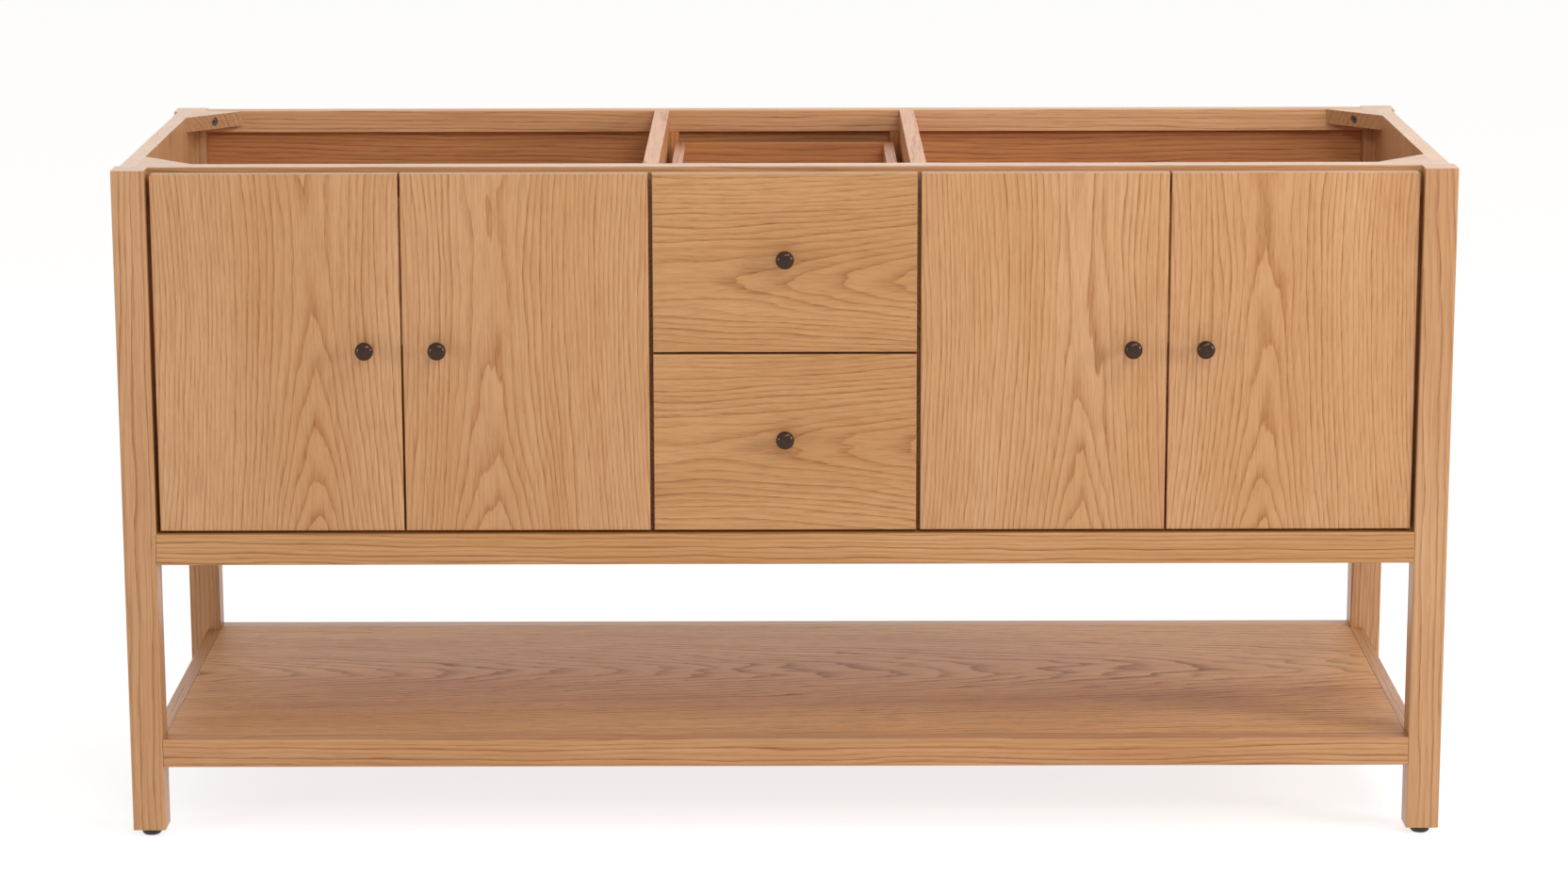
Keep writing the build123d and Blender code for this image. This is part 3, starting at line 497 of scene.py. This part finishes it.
backward = (0, 1, 0)
for door, (edge, way) in screwPlaces["hingedEdges"].items():
    sideways = (way, 0, 0)
    for z in screwPlaces["hingeHeights"]:
        for side in (-1, 1):
            inset, depth, rise = screwPlaces["cupScrew"]
            place = (edge + way * inset, depth, z + side * rise)
            addScrew(door + "_cup_screw", place, backward, door, "nickel_steel")
            inset, depth, rise = screwPlaces["plateScrew"]
            place = (edge + way * inset, depth, z + side * rise)
            addScrew(door + "_plate_screw", place, sideways, "cabinet", "nickel_steel")
        inset, depths, size = screwPlaces["armScrews"]
        for depth in depths:
            place = (edge + way * inset, depth, z)
            addScrew(door + "_arm_screw", place, sideways, "cabinet", "nickel_steel", size)
for node in knobNodes:
    low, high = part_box(node)
    body = node.replace("_knob", "")
    depth = screwPlaces["boxFrontBack" if body.startswith("drawer") else "frontBack"]
    x, z = ((low[i] + high[i]) / 2 * mmPerMetre for i in (0, 2))
    addScrew(node + "_screw", (x, depth, z), backward, body, "zinc_steel")
for drawer, heights in screwPlaces["drawerScrews"].items():
    for z in heights:
        for side in (-1, 1):
            place = (side * screwPlaces["drawerScrewX"], screwPlaces["boxFrontBack"], z)
            addScrew(drawer + "_front_screw", place, backward, drawer, "zinc_steel")
for z in screwPlaces["runnerHeights"]:
    for depth in screwPlaces["runnerDepths"]:
        for side in (-1, 1):
            place = (side * screwPlaces["runnerScrewX"], depth, z)
            addScrew("runner_screw", place, (-side, 0, 0), "cabinet", "zinc_steel")
backRow = range(-screwPlaces["backSteps"], screwPlaces["backSteps"] + 1)
backScrews = [(step * screwPlaces["backSpacing"], z) for z in screwPlaces["backEdges"] for step in backRow]
backScrews += [(x, z) for x in screwPlaces["backUprights"] for z in screwPlaces["backUprightHeights"]]
for x, z in backScrews:
    addScrew("back_panel_screw", (x, screwPlaces["backDepth"], z), backward, "cabinet", "zinc_steel")

screwPattern = makeScrewHead()
for count, (name, spot, facing, body, slot, size) in enumerate(screws):
    screw = placeCopy(screwPattern, spot, facing, screwHead["spin"] * count)
    screw.scale *= size
    finishPiece(screw, name + "_" + str(count + 1), hardware[plating[slot]], body)
bpy.data.objects.remove(screwPattern)
print("screws placed:", len(screws))

# socket-head bolts through the rear corner blocks, in mm along the bolt from the slanted face
cornerBolt = {"headRadius": 5.0, "sides": 32, "sunk": 1.5, "headLength": 8.0, "shankRadius": 3.0,
              "end": 42.8, "rim": 0.6, "rimSteps": 2, "socket": 2.3, "socketSides": 6, "socketDepth": 2.6,
              "face": (708.0, 482.0, 777.0)}


def makeCornerBolt():
    sunk, length = mm(cornerBolt["sunk"]), mm(cornerBolt["headLength"])
    bpy.ops.object.select_all(action="DESELECT")
    bpy.ops.mesh.primitive_cylinder_add(
        vertices=cornerBolt["sides"], radius=mm(cornerBolt["headRadius"]), depth=length,
        location=(0, 0, -sunk - length / 2))
    bolt = bpy.context.object
    bpy.ops.object.transform_apply(location=True)
    pickFaces(bolt, lambda face: face.normal.z < -squareOn)
    bpy.ops.mesh.inset(thickness=mm(cornerBolt["headRadius"] - cornerBolt["shankRadius"]))
    shank = mm(cornerBolt["end"]) - sunk - length
    bpy.ops.mesh.extrude_region_move(TRANSFORM_OT_translate={"value": (0, 0, -shank)})
    bpy.ops.object.mode_set(mode="OBJECT")
    pickFaces(bolt, lambda face: face.normal.z > squareOn)
    bpy.ops.mesh.bevel(offset=mm(cornerBolt["rim"]), segments=cornerBolt["rimSteps"])
    bpy.ops.object.mode_set(mode="OBJECT")
    bpy.ops.object.select_all(action="DESELECT")
    bpy.ops.mesh.primitive_cylinder_add(
        vertices=cornerBolt["socketSides"], radius=mm(cornerBolt["socket"]),
        depth=2 * mm(cornerBolt["socketDepth"]), location=(0, 0, -sunk))
    return cutRecess(bolt, [bpy.context.object])


boltPattern = makeCornerBolt()
bolts = []
for side in (-1, 1):
    x, depth, z = cornerBolt["face"]
    bolts.append(placeCopy(boltPattern, screwSpot(side * x, depth, z), (-side, -1, 0)))
bpy.data.objects.remove(boltPattern)
bpy.ops.object.select_all(action="DESELECT")
for bolt in bolts:
    bolt.select_set(True)
bpy.context.view_layer.objects.active = bolts[0]
bpy.ops.object.join()
finishPiece(bolts[0], "corner_bolts_socketed", hardware["black_oxide_steel"], "cabinet")
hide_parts("corner_bolts")
print("corner bolts made")

# camera at the photograph's viewing angle: metres, degrees, mm
viewPoint = {"place": (-0.0019, -4.9243, 1.4689), "turn": (77.99, 0.11, -0.031),
             "lens": 95.59, "sensor": 36.0, "reach": 60}
bpy.ops.object.select_all(action="DESELECT")
bpy.ops.object.camera_add(location=viewPoint["place"])
camera = bpy.context.object
camera.name = "camera"
camera.rotation_euler = [math.radians(a) for a in viewPoint["turn"]]
camera.data.lens = viewPoint["lens"]
camera.data.sensor_width = viewPoint["sensor"]
camera.data.clip_end = viewPoint["reach"]
scene.camera = camera

# pale studio floor, white to the camera apart from the soft shadow under the cabinet
studio = {"floorSize": 60.0, "floor": "#F4F3F2", "floorRoughness": 0.9, "shadowShare": 0.45, "white": 1.42,
          "ambient": "#FFFCF8", "ambientLevel": 0.45}


# 1 where the camera looks straight at a surface or sees it mirrored in a glossy one
def seenByCamera(tree):
    rays = addNode(tree, "ShaderNodeLightPath")
    return addNode(tree, "ShaderNodeMath", {
        0: rays.outputs["Is Camera Ray"], 1: rays.outputs["Is Glossy Ray"]}, operation="MAXIMUM").outputs[0]


# seamless paper, rolled smooth: an even matt white
bpy.ops.mesh.primitive_plane_add(size=studio["floorSize"])
floor = bpy.context.object
floor.name = "studio_floor"
paper, paperTree, paperShader = newMaterial("seamless_paper")
paperShader.inputs["Base Color"].default_value = hexColour(studio["floor"])
paperShader.inputs["Roughness"].default_value = studio["floorRoughness"]
share = addNode(paperTree, "ShaderNodeMath", {
    0: seenByCamera(paperTree), 1: 1 - studio["shadowShare"]}, operation="MULTIPLY")
glow = addNode(paperTree, "ShaderNodeEmission", {"Color": (1, 1, 1, 1), "Strength": studio["white"]})
blend = addNode(paperTree, "ShaderNodeMixShader", {
    0: share.outputs[0], 1: paperShader.outputs["BSDF"], 2: glow.outputs["Emission"]})
paperTree.links.new(blend.outputs["Shader"], paperTree.nodes["Material Output"].inputs["Surface"])
floor.data.materials.append(paper)

world = bpy.data.worlds.new("studio")
world.use_nodes = True
scene.world = world
sky = world.node_tree
level = addNode(sky, "ShaderNodeMapRange", {
    "Value": seenByCamera(sky), "To Min": studio["ambientLevel"], "To Max": 1.0})
background = sky.nodes["Background"]
background.inputs["Color"].default_value = hexColour(studio["ambient"])
sky.links.new(level.outputs["Result"], background.inputs["Strength"])

# soft boxes: one each side of the camera, the right one stronger, a small one above it, one high on the
# right, and a wide one behind for the sheen of the top edges and the back of the shelf
softBoxes = {
    "right": {"place": (4.3, -2.4, 1.7), "aim": (0, 0, 0.4), "size": (1.2, 1.2), "watts": 78},
    "left": {"place": (-3.9, -2.9, 0.9), "aim": (0, 0, 0.4), "size": (1.2, 1.2), "watts": 33},
    "key": {"place": (0.5, -3.6, 2.5), "aim": (0, 0, 0.5), "size": (0.9, 0.45), "watts": 21},
    "overhead": {"place": (1.6, -1.7, 3.1), "aim": (0, 0, 0.5), "size": (1.6, 0.8), "watts": 28},
    "rear": {"place": (0.0, 2.4, 1.9), "aim": (0, 0, 0.3), "size": (3.2, 1.2), "watts": 20},
}
for name, box in softBoxes.items():
    bpy.ops.object.light_add(type="AREA", location=box["place"])
    lamp = bpy.context.object
    lamp.name = name
    lamp.data.shape = "RECTANGLE"
    lamp.data.size, lamp.data.size_y = box["size"]
    lamp.data.energy = box["watts"]
    lamp.visible_camera = False
    beam = Vector(box["aim"]) - Vector(box["place"])
    lamp.rotation_euler = beam.to_track_quat("-Z", "Y").to_euler()
print("studio set")
